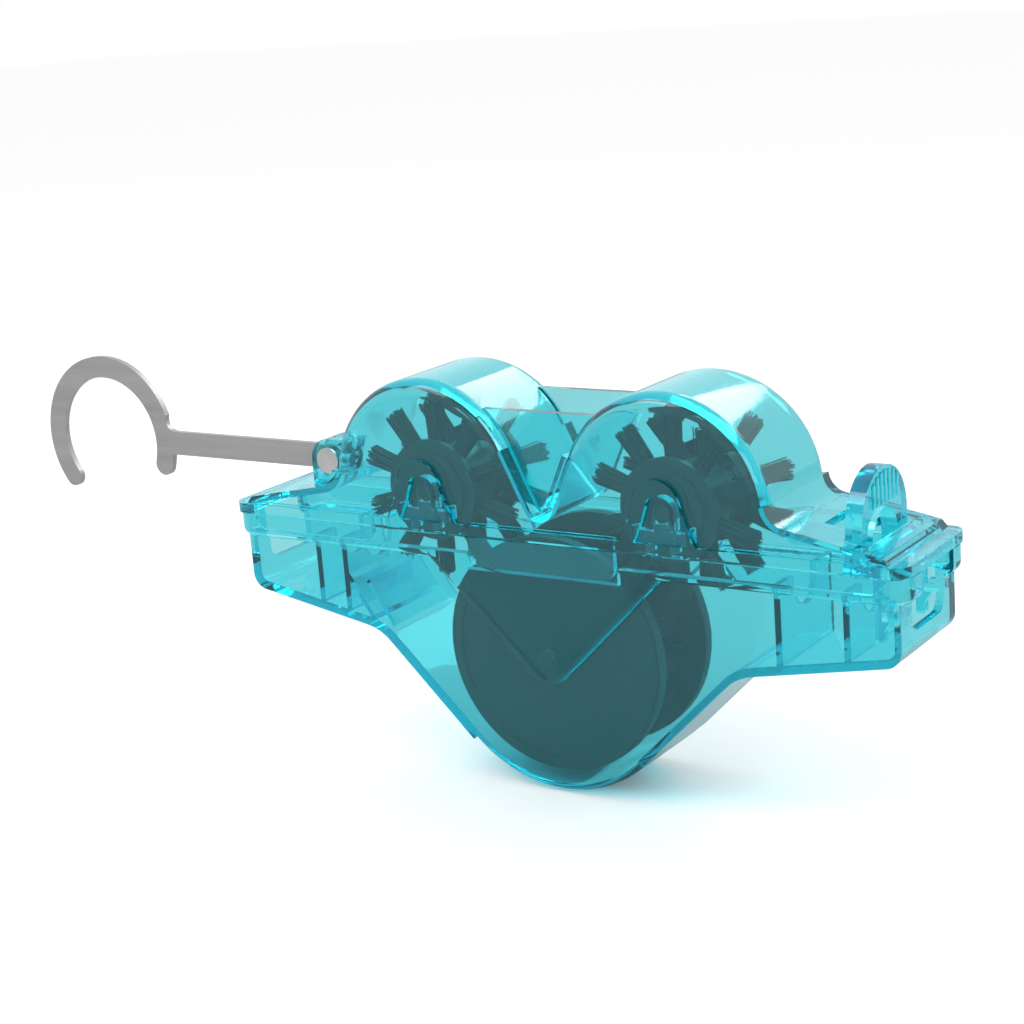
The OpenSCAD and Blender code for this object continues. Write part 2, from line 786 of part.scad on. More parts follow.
// An end cap against the end of a hub, with a low step around the axle
module brush_cap(x) {
    color(black_plastic) translate([x, -hub_half, brush_height]) rotate([90, 0, 0]) difference() {
        union() {
            cylinder(r = cap_radius, h = cap_thickness);
            cylinder(r = cap_step_radius, h = cap_thickness + cap_step);
        }
        translate([0, 0, -overrun])
            cylinder(r = axle_radius + running_gap, h = cap_thickness + cap_step + 2 * overrun);
    }
}

function spot(r, a, y) = [r * cos(a), y, r * sin(a)];

// A ring of backing with tufts of three-sided strands that grow out of its surface
module bristle_ring(tufts, columns, rows, inner, root, tip, half, root_share, spread, side_spread) {
    step = columns + 1;
    count = tufts * step;
    pitch = 360 / tufts;
    reach = pitch * root_share / 2;
    function angle(i) = floor(i / step) * pitch + 90 + reach * (2 * (i % step) / columns - 1);
    function level(j) = half * (2 * j / rows - 1);
    outer_points = [for (i = [0:count - 1], j = [0:rows]) spot(root, angle(i), level(j))];
    inner_points = [for (i = [0:count - 1], s = [-1, 1]) spot(inner, angle(i), s * half)];
    inner_base = count * (rows + 1);
    tip_base = inner_base + 2 * count;
    // A tip lies on its tuft's own axis, moved aside by the root's distance from it times the spread
    function tip_spot(k, u, y, r) = let (a = k * pitch + 90)
        [r * cos(a) + u * spread * sin(a), y * side_spread, r * sin(a) - u * spread * cos(a)];
    function aside(c) = -root * sin(reach * (2 * c / columns - 1));
    function jag(k, c, j) = strand_jag * ((5 * k + 3 * c + 7 * j) % 4);
    function blend(part, whole) = whole + strand_tip_share * (part - whole);
    tip_points = [for (k = [0:tufts - 1], c = [0:columns - 1], j = [0:rows - 1])
        let (r = tip - jag(k, c, j), u = (2 * aside(c) + aside(c + 1)) / 3,
            y = (2 * level(j) + level(j + 1)) / 3)
        for (corner = [[0, 0], [1, 0], [0, 1]])
            tip_spot(k, blend(aside(c + corner[0]), u), blend(level(j + corner[1]), y), r)];
    function outer_at(i, j) = (i % count) * (rows + 1) + j;
    function inner_at(i, s) = inner_base + 2 * (i % count) + s;
    function tip_at(k, c, j) = tip_base + 3 * ((k * columns + c) * rows + j);
    // Half of every cell is plain, and so is the other half between the tufts
    plain = [for (i = [0:count - 1], j = [0:rows - 1])
        [outer_at(i + 1, j), outer_at(i + 1, j + 1), outer_at(i, j + 1)]];
    between = [for (i = [0:count - 1], j = [0:rows - 1]) if (i % step == columns)
        [outer_at(i, j), outer_at(i + 1, j), outer_at(i, j + 1)]];
    inside = [for (i = [0:count - 1]) each [
        [inner_at(i, 0), inner_at(i, 1), inner_at(i + 1, 0)],
        [inner_at(i + 1, 0), inner_at(i, 1), inner_at(i + 1, 1)],
        [outer_at(i + 1, 0), outer_at(i, 0), inner_at(i, 0)],
        [outer_at(i + 1, 0), inner_at(i, 0), inner_at(i + 1, 0)],
        [outer_at(i, rows), outer_at(i + 1, rows), inner_at(i + 1, 1)],
        [outer_at(i, rows), inner_at(i + 1, 1), inner_at(i, 1)]]];
    strands = [for (k = [0:tufts - 1], c = [0:columns - 1], j = [0:rows - 1])
        let (i = k * step + c, t = tip_at(k, c, j),
            foot = [outer_at(i, j), outer_at(i + 1, j), outer_at(i, j + 1)])
        each [[t, t + 1, t + 2],
            for (m = [0:2]) let (next = (m + 1) % 3)
                each [[foot[m], foot[next], t + next], [foot[m], t + next, t + m]]]];
    polyhedron(concat(outer_points, inner_points, tip_points), concat(plain, between, inside, strands));
}

module brush_bristles(x, side) {
    color(black_bristle) translate([x, side * row_place, brush_height])
        bristle_ring(tufts_per_row, tuft_columns, tuft_rows, ring_inner, band_radius, brush_radius, row_half,
            tuft_root_share, tuft_spread_share, row_spread_share);
}

module left_brush_axle() {
    brush_axle(-hump_x);
}

module left_brush_hub() {
    brush_hub(-hump_x);
}

module left_front_cap() {
    brush_cap(-hump_x);
}

module left_back_cap() {
    mirror([0, 1, 0]) brush_cap(-hump_x);
}

module left_front_bristles() {
    brush_bristles(-hump_x, -1);
}

module left_back_bristles() {
    brush_bristles(-hump_x, 1);
}

module right_brush_axle() {
    brush_axle(hump_x);
}

module right_brush_hub() {
    brush_hub(hump_x);
}

module right_front_cap() {
    brush_cap(hump_x);
}

module right_back_cap() {
    mirror([0, 1, 0]) brush_cap(hump_x);
}

module right_front_bristles() {
    brush_bristles(hump_x, -1);
}

module right_back_bristles() {
    brush_bristles(hump_x, 1);
}

module wheel_axle() {
    color(bright_steel) translate([0, wheel_axle_half, -wheel_depth]) rotate([90, 0, 0])
        cylinder(r = axle_radius, h = 2 * wheel_axle_half);
}

// The core between the discs, stepped so that the chain is guided to the middle
module wheel_hub() {
    color(black_plastic) translate([0, 0, -wheel_depth]) rotate([90, 0, 0]) difference() {
        union() {
            translate([0, 0, -disc_inner]) cylinder(r = wheel_hub_radius, h = 2 * disc_inner);
            for (side = [-1, 1]) translate([0, 0, side * (disc_inner - wheel_collar / 2) - wheel_collar / 2])
                cylinder(r = wheel_collar_radius, h = wheel_collar);
        }
        translate([0, 0, -disc_inner - overrun])
            cylinder(r = axle_radius + running_gap, h = 2 * (disc_inner + overrun));
    }
}

// One disc, with a low rim outside and square brackets moulded on its inner face
module wheel_disc() {
    color(black_plastic) translate([0, 0, -wheel_depth]) {
        rotate([90, 0, 0]) translate([0, 0, disc_inner]) difference() {
            union() {
                cylinder(r = disc_radius, h = disc_thickness - disc_rim_rise);
                difference() {
                    cylinder(r = disc_radius - disc_rim / 2, h = disc_thickness);
                    translate([0, 0, disc_thickness - disc_rim_rise])
                        cylinder(r = disc_radius - 2 * disc_rim, h = disc_thickness);
                }
            }
            translate([0, 0, -overrun])
                cylinder(r = axle_radius + running_gap, h = disc_thickness + 2 * overrun);
        }
        for (i = [0:bracket_count - 1]) rotate([0, i * 360 / bracket_count, 0])
            translate([bracket_radius, bracket_rise - disc_inner, 0]) rotate([90, 0, 0])
            linear_extrude(bracket_rise + disc_thickness / 2) {
                translate([0, -bracket_long / 2]) square([bracket_rib, bracket_long]);
                for (side = [-1, 1])
                    translate([-bracket_short, side * (bracket_long - bracket_rib) / 2 - bracket_rib / 2])
                        square([bracket_short + bracket_rib, bracket_rib]);
            }
    }
}

module wheel_front_disc() {
    wheel_disc();
}

module wheel_back_disc() {
    mirror([0, 1, 0]) wheel_disc();
}

module wheel_bristles() {
    color(black_bristle) translate([0, 0, -wheel_depth])
        bristle_ring(scrub_tufts, scrub_columns, scrub_rows, scrub_inner, scrub_root, scrub_radius, scrub_half,
            tuft_root_share, tuft_spread_share, 1);
}

lower_body();
lid();
latch();
hook_arm();
hook_rivet();
rivet_washer();
left_axle_keepers();
right_axle_keepers();
left_brush_axle();
left_brush_hub();
left_front_cap();
left_back_cap();
left_front_bristles();
left_back_bristles();
right_brush_axle();
right_brush_hub();
right_front_cap();
right_back_cap();
right_front_bristles();
right_back_bristles();
wheel_axle();
wheel_hub();
wheel_front_disc();
wheel_back_disc();
wheel_bristles();
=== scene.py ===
# %% [markdown]
# # A bicycle chain cleaner in clear aqua plastic
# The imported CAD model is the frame. This script gives it tinted clear plastic, black moulded wheels, nylon tufts and a
# stamped steel arm, then lights it like a catalogue photo. Lengths are in metres, in the frame of the CAD model.

import json
import math

import bpy
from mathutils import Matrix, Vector


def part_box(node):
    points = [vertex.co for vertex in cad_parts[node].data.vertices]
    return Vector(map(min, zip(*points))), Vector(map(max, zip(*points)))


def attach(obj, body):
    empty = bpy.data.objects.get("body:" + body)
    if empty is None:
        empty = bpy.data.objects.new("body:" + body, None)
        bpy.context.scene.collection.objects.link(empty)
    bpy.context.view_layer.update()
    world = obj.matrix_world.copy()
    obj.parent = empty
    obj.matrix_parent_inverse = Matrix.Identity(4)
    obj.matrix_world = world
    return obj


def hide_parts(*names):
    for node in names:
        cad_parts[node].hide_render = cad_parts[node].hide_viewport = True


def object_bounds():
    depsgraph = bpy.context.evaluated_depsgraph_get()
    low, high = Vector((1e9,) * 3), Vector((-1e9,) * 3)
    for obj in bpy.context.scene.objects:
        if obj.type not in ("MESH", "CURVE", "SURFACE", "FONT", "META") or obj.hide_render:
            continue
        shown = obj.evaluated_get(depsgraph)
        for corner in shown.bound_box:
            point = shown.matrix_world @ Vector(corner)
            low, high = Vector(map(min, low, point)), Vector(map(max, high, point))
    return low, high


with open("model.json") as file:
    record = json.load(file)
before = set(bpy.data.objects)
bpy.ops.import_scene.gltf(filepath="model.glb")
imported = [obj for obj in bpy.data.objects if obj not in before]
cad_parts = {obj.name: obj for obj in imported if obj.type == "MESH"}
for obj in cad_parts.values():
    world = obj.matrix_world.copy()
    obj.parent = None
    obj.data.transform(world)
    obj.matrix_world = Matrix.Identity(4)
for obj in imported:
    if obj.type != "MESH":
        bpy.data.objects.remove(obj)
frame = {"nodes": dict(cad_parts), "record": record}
cad_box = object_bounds()
MM = 0.001

# %% [markdown]
# ## Node helpers
# `Tree` adds nodes and links in one call. A value given by keyword is a link when it is a socket, or else a constant.


# %% Helpers for node trees
class Tree:
    """Adds nodes to one node tree."""

    def __init__(self, tree):
        self.tree = tree

    def node(self, kind, settings=None, **values):
        made = self.tree.nodes.new(kind)
        for key, value in (settings or {}).items():
            setattr(made, key, value)
        for key, value in values.items():
            self.put(made, key.replace("_", " "), value)
        return made

    def put(self, made, name, value):
        socket = made.inputs[int(name)] if name.isdigit() else made.inputs[name]
        if isinstance(value, bpy.types.NodeSocket):
            self.tree.links.new(value, socket)
        else:
            socket.default_value = value

    def math(self, operation, *values):
        made = self.tree.nodes.new("ShaderNodeMath")
        made.operation = operation
        for i, value in enumerate(values):
            self.put(made, str(i), value)
        return made.outputs[0]

    def vector(self, operation, *values):
        made = self.tree.nodes.new("ShaderNodeVectorMath")
        made.operation = operation
        for i, value in enumerate(values):
            self.put(made, str(i), value)
        return made.outputs["Vector"]

    def xyz(self, x, y, z):
        made = self.tree.nodes.new("ShaderNodeCombineXYZ")
        for i, value in enumerate((x, y, z)):
            self.put(made, str(i), value)
        return made.outputs[0]


def group_tree(name, kind, inputs, outputs):
    """A new node group with named sockets, given as (name, socket type, default)."""
    tree = bpy.data.node_groups.new(name, kind)
    for label, socket, default in inputs:
        made = tree.interface.new_socket(label, in_out="INPUT", socket_type=socket)
        if default is not None:
            made.default_value = default
    for label, socket in outputs:
        tree.interface.new_socket(label, in_out="OUTPUT", socket_type=socket)
    return tree, Tree(tree)


# %% [markdown]
# ## Shared surface effects
# One group makes soft moulding marks with small scratches, and one makes the fine lines of rolled steel. Both give only
# values and normals, so each material keeps its own shader.


# %% Surface groups
# Shares of the large and the small noise in the value
COARSE_SHARE, FINE_SHARE = 0.6, 0.4
# The small noise, drawn out along one axis, counts as a scratch between these two values
SCRATCH_LOW, SCRATCH_HIGH = 0.66, 0.72
SCRATCH_STRETCH = (1.0, 0.35, 4.0)
BUMP_DISTANCE = 0.0004
# Noise lies mostly between these two values
NOISE_LOW, NOISE_HIGH = 0.3, 0.7


def surface_group(name, stretch):
    """Noise in two sizes, stretched along one axis, as a value round 0.5 and as a bumped normal."""
    tree, t = group_tree(
        name,
        "ShaderNodeTree",
        [("Coarse", "NodeSocketFloat", 60.0), ("Fine", "NodeSocketFloat", 900.0), ("Depth", "NodeSocketFloat", 0.1)],
        [("Value", "NodeSocketFloat"), ("Scratches", "NodeSocketFloat"), ("Normal", "NodeSocketVector")],
    )
    given = t.node("NodeGroupInput")
    place = t.node("ShaderNodeTexCoord").outputs["Object"]
    place = t.vector("MULTIPLY", place, stretch)
    coarse = t.node("ShaderNodeTexNoise", Vector=place, Scale=given.outputs["Coarse"], Detail=3.0).outputs["Fac"]
    fine = t.node("ShaderNodeTexNoise", Vector=place, Scale=given.outputs["Fine"], Detail=5.0).outputs["Fac"]
    value = t.math("ADD", t.math("MULTIPLY", coarse, COARSE_SHARE), t.math("MULTIPLY", fine, FINE_SHARE))
    lines = t.vector("MULTIPLY", place, SCRATCH_STRETCH)
    scratch = t.node("ShaderNodeTexNoise", Vector=lines, Scale=given.outputs["Fine"], Detail=2.0).outputs["Fac"]
    scratch = t.node(
        "ShaderNodeMapRange", Value=scratch, From_Min=SCRATCH_LOW, From_Max=SCRATCH_HIGH, To_Min=0.0, To_Max=1.0
    ).outputs["Result"]
    bump = t.node("ShaderNodeBump", Strength=given.outputs["Depth"], Distance=BUMP_DISTANCE, Height=value)
    t.node("NodeGroupOutput", Value=value, Scratches=scratch, Normal=bump.outputs["Normal"])
    return tree


moulded = surface_group("moulded_surface", (1.0, 1.0, 1.0))
rolled = surface_group("rolled_surface", (0.12, 1.0, 3.0))


def new_material(name):
    """An empty material and the helper of its node tree."""
    made = bpy.data.materials.new(name)
    made.use_nodes = True
    made.node_tree.nodes.clear()
    return made, Tree(made.node_tree)


def surface(t, group, coarse, fine, depth):
    """The outputs of a surface group with these noise scales and this depth of relief."""
    made = t.node("ShaderNodeGroup", {"node_tree": group})
    for name, value in (("Coarse", coarse), ("Fine", fine), ("Depth", depth)):
        made.inputs[name].default_value = value
    return made.outputs


def ranged(t, value, low, high):
    """The value, which lies round 0.5, spread from low to high."""
    return t.node(
        "ShaderNodeMapRange", Value=value, From_Min=NOISE_LOW, From_Max=NOISE_HIGH, To_Min=low, To_Max=high
    ).outputs["Result"]


# %% [markdown]
# ## Clear plastic
# The colour of each wall comes half from its faces and half from the depth of plastic behind them, so thick corners and
# walls seen edge-on turn teal. Shadow rays pass through, tinted, because real clear plastic throws a pale shadow.


# %% Clear materials
# A ray that has bent this often goes straight on, so that no edge turns black
LAST_BEND = 5.5
# A little light scatters in the plastic, so that black parts behind it look teal
HAZE = 0.03
HAZE_TINT = (0.0, 0.72, 0.86, 1.0)
PLASTIC_IOR = 1.49
# Smoothest and roughest places, as shares of a plastic's roughness, and what a scratch adds
SMOOTH_SHARE, ROUGH_SHARE = 0.6, 1.5
SCRATCH_ROUGHNESS = 0.08


def clear_plastic(name, tint, absorbed, density, shadow, roughness):
    """Tinted faces round a body that absorbs light with depth."""
    made, t = new_material(name)
    out = surface(t, moulded, 45.0, 700.0, 0.05)
    rough = t.math(
        "ADD",
        ranged(t, out["Value"], roughness * SMOOTH_SHARE, roughness * ROUGH_SHARE),
        t.math("MULTIPLY", out["Scratches"], SCRATCH_ROUGHNESS),
    )
    shader = t.node(
        "ShaderNodeBsdfPrincipled",
        Base_Color=tint,
        Metallic=0.0,
        Roughness=rough,
        IOR=PLASTIC_IOR,
        Transmission_Weight=1.0,
        Normal=out["Normal"],
    )
    haze = t.node("ShaderNodeBsdfDiffuse", Color=HAZE_TINT)
    body = t.node("ShaderNodeMixShader", **{"0": HAZE, "1": shader.outputs[0], "2": haze.outputs[0]})
    path = t.node("ShaderNodeLightPath").outputs
    late = t.math("GREATER_THAN", path["Ray Depth"], LAST_BEND)
    through = t.math("MAXIMUM", path["Is Shadow Ray"], late)
    see = t.node("ShaderNodeBsdfTransparent", Color=shadow)
    mixed = t.node("ShaderNodeMixShader", **{"0": through, "1": body.outputs[0], "2": see.outputs[0]})
    volume = t.node("ShaderNodeVolumeAbsorption", Color=absorbed, Density=density)
    t.node("ShaderNodeOutputMaterial", Surface=mixed.outputs[0], Volume=volume.outputs[0])
    return made


CLEAR_TINT = (0.56, 0.94, 0.965, 1.0)
DEEP_TINT = (0.44, 0.90, 0.95, 1.0)
DEPTH_TINT = (0.0, 0.88, 0.915, 1.0)
clear_aqua = clear_plastic("clear_aqua", CLEAR_TINT, DEPTH_TINT, 210.0, (0.68, 0.93, 0.97, 1.0), 0.03)
deep_aqua = clear_plastic("deep_aqua", DEEP_TINT, DEPTH_TINT, 260.0, (0.6, 0.91, 0.96, 1.0), 0.05)


# %% [markdown]
# ## Black plastic, nylon and steel


# %% Opaque materials
# The tone of a worn mark, and what it adds to the roughness
WORN_TONE = (0.5, 0.5, 0.5, 1.0)
WORN_ROUGHNESS = 0.2


def solid(name, low, high, rough_low, rough_high, metallic, group, coarse, fine, depth, worn):
    """A colour that drifts between two tones, with scratches that are paler and rougher."""
    made, t = new_material(name)
    out = surface(t, group, coarse, fine, depth)
    drift = ranged(t, out["Value"], 0.0, 1.0)
    tone = t.node("ShaderNodeMix", {"data_type": "RGBA"}, **{"0": drift, "6": low, "7": high})
    mark = t.math("MULTIPLY", out["Scratches"], worn)
    colour = t.node("ShaderNodeMix", {"data_type": "RGBA"}, **{"0": mark, "6": tone.outputs[2], "7": WORN_TONE})
    rough = t.math("ADD", ranged(t, out["Value"], rough_low, rough_high), t.math("MULTIPLY", mark, WORN_ROUGHNESS))
    shader = t.node(
        "ShaderNodeBsdfPrincipled",
        Base_Color=colour.outputs[2],
        Metallic=metallic,
        Roughness=rough,
        Normal=out["Normal"],
    )
    t.node("ShaderNodeOutputMaterial", Surface=shader.outputs[0])
    return made


black_plastic = solid(
    "black_plastic",
    low=(0.010, 0.013, 0.015, 1),
    high=(0.022, 0.027, 0.030, 1),
    rough_low=0.34,
    rough_high=0.52,
    metallic=0.0,
    group=moulded,
    coarse=90.0,
    fine=1500.0,
    depth=0.25,
    worn=0.10,
)
black_bristle = solid(
    "black_bristle",
    low=(0.006, 0.007, 0.009, 1),
    high=(0.030, 0.032, 0.036, 1),
    rough_low=0.40,
    rough_high=0.60,
    metallic=0.0,
    group=moulded,
    coarse=300.0,
    fine=2500.0,
    depth=0.1,
    worn=0.02,
)
steel_sheet = solid(
    "steel_sheet",
    low=(0.37, 0.355, 0.35, 1),
    high=(0.48, 0.465, 0.455, 1),
    rough_low=0.32,
    rough_high=0.48,
    metallic=1.0,
    group=rolled,
    coarse=150.0,
    fine=2600.0,
    depth=0.22,
    worn=0.35,
)
bright_steel = solid(
    "bright_steel",
    low=(0.50, 0.48, 0.47, 1),
    high=(0.64, 0.62, 0.61, 1),
    rough_low=0.16,
    rough_high=0.28,
    metallic=1.0,
    group=moulded,
    coarse=220.0,
    fine=2600.0,
    depth=0.18,
    worn=0.25,
)
MATERIALS = {
    "clear_aqua": clear_aqua,
    "deep_aqua": deep_aqua,
    "black_plastic": black_plastic,
    "black_bristle": black_bristle,
    "steel_sheet": steel_sheet,
    "bright_steel": bright_steel,
}

# %% Give every CAD node its material
for part in frame["record"]["subparts"]:
    mesh = frame["nodes"][part["node"]].data
    mesh.materials.clear()
    mesh.materials.append(MATERIALS[part["material_slot"]])
print("materials on", len(frame["nodes"]), "nodes")

# %% [markdown]
# ## Tufts of nylon
# A Geometry Nodes tree builds a ring of backing and its tufts. Each strand stands at a random place of its tuft's foot
# and leans outward, so that a tuft opens like a paintbrush.

# %% The tuft tree
# The strands' feet start a little inside the backing, and the outer rows lean a little sideways
FOOT_SINK_SHARE = 0.97
SIDE_SPREAD = 1.04
STRAND_TIP_SHARE = 0.7
STRAND_SIDES = 5
RING_POINTS = 72
BACKING_HEIGHT_SHARE = 2.1
HALF = 0.5
TUFT_INPUTS = [
    ("Tufts", "NodeSocketInt", 10),
    ("Strands", "NodeSocketInt", 40),
    ("Rows", "NodeSocketInt", 2),
    ("Row Distance", "NodeSocketFloat", 0.0136),
    ("Foot Radius", "NodeSocketFloat", 0.0085),
    ("Tip Radius", "NodeSocketFloat", 0.021),
    ("Half Width", "NodeSocketFloat", 0.0017),
    ("Half Depth", "NodeSocketFloat", 0.0022),
    ("Spread", "NodeSocketFloat", 1.45),
    ("Raggedness", "NodeSocketFloat", 0.0009),
    ("Strand Radius", "NodeSocketFloat", 0.00016),
    ("Backing Inner", "NodeSocketFloat", 0.0073),
    ("Centre", "NodeSocketVector", (0.0, 0.0, 0.0)),
    ("Seed", "NodeSocketInt", 1),
    ("Material", "NodeSocketMaterial", None),
]
tuft_tree, t = group_tree(
    "tuft_ring",
    "GeometryNodeTree",
    [("Geometry", "NodeSocketGeometry", None)] + TUFT_INPUTS,
    [("Geometry", "NodeSocketGeometry")],
)
g = t.node("NodeGroupInput").outputs
total = t.math("MULTIPLY", t.math("MULTIPLY", g["Tufts"], g["Strands"]), g["Rows"])
line = t.node("GeometryNodeMeshLine", {"mode": "OFFSET"}, Count=total)
line.inputs["Offset"].default_value = (0.0, 0.0, 0.0)
index = t.node("GeometryNodeInputIndex").outputs[0]
tuft = t.math("FLOOR", t.math("DIVIDE", t.math("ADD", index, HALF), g["Strands"]))
row = t.math("FLOOR", t.math("DIVIDE", t.math("ADD", tuft, HALF), g["Tufts"]))
turn = t.math("MULTIPLY", t.math("DIVIDE", tuft, g["Tufts"]), 2 * math.pi)


def random_value(shift):
    """A random value from 0 to 1 for each strand, of its own for each shift."""
    made = t.node("FunctionNodeRandomValue", {"data_type": "FLOAT"})
    t.tree.links.new(index, made.inputs["ID"])
    t.tree.links.new(t.math("ADD", g["Seed"], shift), made.inputs["Seed"])
    return made.outputs[1]


# A place in the oval foot: the root of one random value gives the distance, and another the direction
reach = t.math("SQRT", random_value(0))
way = t.math("MULTIPLY", random_value(1), 2 * math.pi)
across = t.math("MULTIPLY", t.math("MULTIPLY", reach, t.math("COSINE", way)), g["Half Width"])
aside = t.math("MULTIPLY", t.math("MULTIPLY", reach, t.math("SINE", way)), g["Half Depth"])
middle_row = t.math("MULTIPLY", t.math("SUBTRACT", g["Rows"], 1), HALF)
row_place = t.math("MULTIPLY", t.math("SUBTRACT", row, middle_row), g["Row Distance"])
length_loss = t.math("MULTIPLY", random_value(2), g["Raggedness"])
foot = t.xyz(across, t.math("ADD", row_place, aside), t.math("MULTIPLY", g["Foot Radius"], FOOT_SINK_SHARE))
tip = t.xyz(
    t.math("MULTIPLY", across, g["Spread"]),
    t.math("ADD", row_place, t.math("MULTIPLY", aside, SIDE_SPREAD)),
    t.math("SUBTRACT", g["Tip Radius"], length_loss),
)


def turned(place):
    """The place, turned about the wheel's axis to its tuft."""
    made = t.node("ShaderNodeVectorRotate", {"rotation_type": "Y_AXIS"}, Vector=place, Angle=turn)
    return made.outputs[0]


foot, tip = turned(foot), turned(tip)
along = t.vector("SUBTRACT", tip, foot)
length = t.node("ShaderNodeVectorMath", {"operation": "LENGTH"}, **{"0": along}).outputs["Value"]
placed = t.node("GeometryNodeSetPosition", Geometry=line.outputs[0], Position=foot).outputs[0]
cone = t.node("GeometryNodeMeshCone", Vertices=STRAND_SIDES)
t.tree.links.new(t.math("MULTIPLY", g["Strand Radius"], STRAND_TIP_SHARE), cone.inputs["Radius Top"])
t.tree.links.new(g["Strand Radius"], cone.inputs["Radius Bottom"])
cone.inputs["Depth"].default_value = 1.0
lean = t.node("FunctionNodeAlignRotationToVector", {"axis": "Z"}, Vector=along)
size = t.xyz(1.0, 1.0, length)
strands = t.node(
    "GeometryNodeInstanceOnPoints", Points=placed, Instance=cone.outputs["Mesh"], Rotation=lean.outputs[0], Scale=size
)
ring_radius = t.math("MULTIPLY", t.math("ADD", g["Foot Radius"], g["Backing Inner"]), HALF)
ring = t.node("GeometryNodeCurvePrimitiveCircle", Resolution=RING_POINTS, Radius=ring_radius)
profile = t.node("GeometryNodeCurvePrimitiveQuadrilateral")
t.tree.links.new(t.math("SUBTRACT", g["Foot Radius"], g["Backing Inner"]), profile.inputs["Width"])
t.tree.links.new(t.math("MULTIPLY", g["Half Depth"], BACKING_HEIGHT_SHARE), profile.inputs["Height"])
band = t.node("GeometryNodeCurveToMesh", Curve=ring.outputs["Curve"], Profile_Curve=profile.outputs[0]).outputs[0]
row_line = t.node("GeometryNodeMeshLine", {"mode": "OFFSET"}, Count=g["Rows"])
t.tree.links.new(t.xyz(0.0, g["Row Distance"], 0.0), row_line.inputs["Offset"])
first_row = t.math("MULTIPLY", t.math("MULTIPLY", t.math("SUBTRACT", g["Rows"], 1), g["Row Distance"]), -HALF)
t.tree.links.new(t.xyz(0.0, first_row, 0.0), row_line.inputs["Start Location"])
bands = t.node("GeometryNodeInstanceOnPoints", Points=row_line.outputs[0], Instance=band)
bands.inputs["Rotation"].default_value = (math.pi / 2, 0.0, 0.0)
joined = t.node("GeometryNodeJoinGeometry")
for part in (bands.outputs[0], strands.outputs[0]):
    t.tree.links.new(part, joined.inputs[0])
moved = t.node("GeometryNodeTransform", Geometry=joined.outputs[0], Translation=g["Centre"]).outputs[0]
real = t.node("GeometryNodeRealizeInstances", Geometry=moved).outputs[0]
done = t.node("GeometryNodeSetMaterial", Geometry=real, Material=g["Material"]).outputs[0]
t.node("NodeGroupOutput", Geometry=done)


# %% Build the three brushes
def tuft_brush(name, body, nodes, **given):
    """One brush as a plain mesh that rides on its body and stands for its CAD nodes."""
    holder = bpy.data.objects.new(name + "_nodes", bpy.data.meshes.new(name + "_nodes"))
    bpy.context.scene.collection.objects.link(holder)
    modifier = holder.modifiers.new("tufts", "NODES")
    modifier.node_group = tuft_tree
    given["Material"] = black_bristle
    for item in tuft_tree.interface.items_tree:
        key = item.name.replace(" ", "_")
        if item.in_out == "INPUT" and key in given:
            modifier[item.identifier] = given[key]
    graph = bpy.context.evaluated_depsgraph_get()
    mesh = bpy.data.meshes.new_from_object(holder.evaluated_get(graph))
    made = bpy.data.objects.new(name, mesh)
    bpy.context.scene.collection.objects.link(made)
    bpy.data.objects.remove(holder)
    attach(made, body)
    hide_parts(*nodes)
    print(name, len(mesh.polygons), "faces")


def axis_of(node):
    """The middle of a node's box, which lies on its wheel's axis."""
    low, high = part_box(node)
    return tuple((low + high) / 2)


STRAND_RADIUS = 0.0002
for seed, side in enumerate(("left", "right")):
    tuft_brush(
        side + "_brush_tufts",
        side + "_brush",
        (side + "_front_bristles", side + "_back_bristles"),
        Centre=axis_of(side + "_brush_hub"),
        Strands=90,
        Strand_Radius=STRAND_RADIUS,
        Seed=10 + 7 * seed,
    )
tuft_brush(
    "guide_wheel_tufts",
    "guide_wheel",
    ("wheel_bristles",),
    Centre=axis_of("wheel_hub"),
    Tufts=14,
    Rows=1,
    Strands=80,
    Strand_Radius=STRAND_RADIUS,
    Foot_Radius=0.012,
    Tip_Radius=0.024,
    Half_Width=0.0017,
    Half_Depth=0.0038,
    Backing_Inner=0.0102,
    Spread=1.4,
    Seed=31,
)

# %% [markdown]
# ## Studio
# A white floor in a white world. Mirrored rays see a greyer floor, like a dark card in front of the camera, so that the
# plastic isn't hazed with white. Two big softboxes and a strip light give the clear plastic its long highlights.

# %% Floor, world and lights
scene = bpy.context.scene
low, high = cad_box
middle = (low + high) / 2


def floor_paint(name, colour, mirrored):
    """A matt paint that mirrored rays see in a colour of its own."""
    made, t = new_material(name)
    path = t.node("ShaderNodeLightPath").outputs
    seen = t.node(
        "ShaderNodeMix", {"data_type": "RGBA"}, **{"0": path["Is Glossy Ray"], "6": colour, "7": mirrored}
    ).outputs[2]
    shader = t.node("ShaderNodeBsdfPrincipled", Base_Color=seen, Roughness=0.9)
    t.node("ShaderNodeOutputMaterial", Surface=shader.outputs[0])
    return made


FLOOR_REACH = 4.0
FLOOR_GAP = 0.0005
FLOOR_WHITE = (0.97, 0.97, 0.97, 1.0)
FLOOR_MIRRORED = (0.52, 0.55, 0.56, 1.0)
corners = [(x * FLOOR_REACH, y * FLOOR_REACH, low.z - FLOOR_GAP) for x, y in ((-1, -1), (1, -1), (1, 1), (-1, 1))]
floor_mesh = bpy.data.meshes.new("floor")
floor_mesh.from_pydata(corners, [], [(0, 1, 2, 3)])
floor = bpy.data.objects.new("floor", floor_mesh)
floor_mesh.materials.append(floor_paint("floor_white", FLOOR_WHITE, FLOOR_MIRRORED))
scene.collection.objects.link(floor)

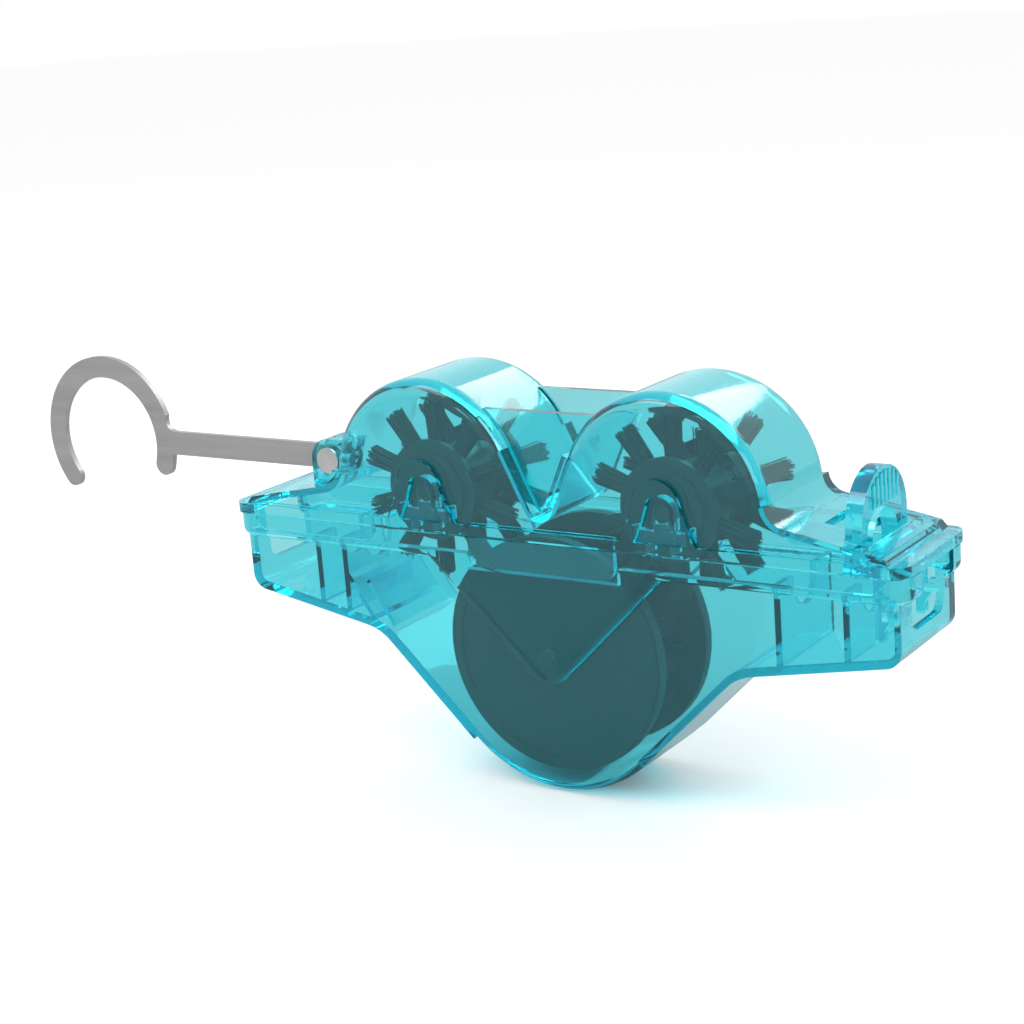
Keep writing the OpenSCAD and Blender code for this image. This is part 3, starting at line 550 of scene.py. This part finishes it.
world = bpy.data.worlds.new("studio")
world.use_nodes = True
world.node_tree.nodes.clear()
t = Tree(world.node_tree)
white = t.node("ShaderNodeBackground", Color=(1.0, 1.0, 1.0, 1.0), Strength=1.0)
t.node("ShaderNodeOutputWorld", Surface=white.outputs[0])
scene.world = world


def softbox(name, place, size, power):
    """An area light that faces the middle of the object."""
    light = bpy.data.lights.new(name, "AREA")
    light.shape = "RECTANGLE"
    light.size, light.size_y = size
    light.energy = power
    made = bpy.data.objects.new(name, light)
    made.location = middle + Vector(place)
    made.rotation_mode = "QUATERNION"
    made.rotation_quaternion = (-Vector(place)).to_track_quat("-Z", "Y")
    scene.collection.objects.link(made)


softbox("key_light", (-0.35, -0.45, 0.75), (0.5, 0.35), 2.6)
softbox("fill_light", (0.75, -0.35, 0.35), (0.35, 0.35), 1.0)
softbox("back_light", (0.1, 0.7, 0.55), (0.7, 0.2), 2.0)

# %% [markdown]
# ## Camera
# The photo's view: its direction, roll, distance and focal length were read from the outline of the object.

# %% Camera
AZIMUTH, ELEVATION, ROLL = (math.radians(a) for a in (34.42, 14.79, -4.437))
FOCAL_PIXELS, PHOTO_PIXELS = 2099.3, 1024.0
SENSOR_MM = 36.0
CLIP_START = 0.01
TARGET = Vector((-17.23, 0.0, 1.62)) * MM
DISTANCE = 494.8 * MM
back = Vector(
    (math.sin(AZIMUTH) * math.cos(ELEVATION), -math.cos(AZIMUTH) * math.cos(ELEVATION), math.sin(ELEVATION))
)
right = (-back).cross(Vector((0, 0, 1))).normalized()
up = right.cross(-back)
right_rolled = right * math.cos(ROLL) + up * math.sin(ROLL)
up_rolled = up * math.cos(ROLL) - right * math.sin(ROLL)
data = bpy.data.cameras.new("camera")
data.sensor_width = SENSOR_MM
data.lens = SENSOR_MM * FOCAL_PIXELS / PHOTO_PIXELS
data.clip_start = CLIP_START
camera = bpy.data.objects.new("camera", data)
camera.location = TARGET + back * DISTANCE
camera.rotation_mode = "QUATERNION"
basis = camera.matrix_basis.to_3x3()
for column, axis in enumerate((right_rolled, up_rolled, back)):
    for line_index in range(3):
        basis[line_index][column] = axis[line_index]
camera.rotation_quaternion = basis.to_quaternion()
scene.collection.objects.link(camera)
scene.camera = camera
scene.view_settings.view_transform = "Standard"
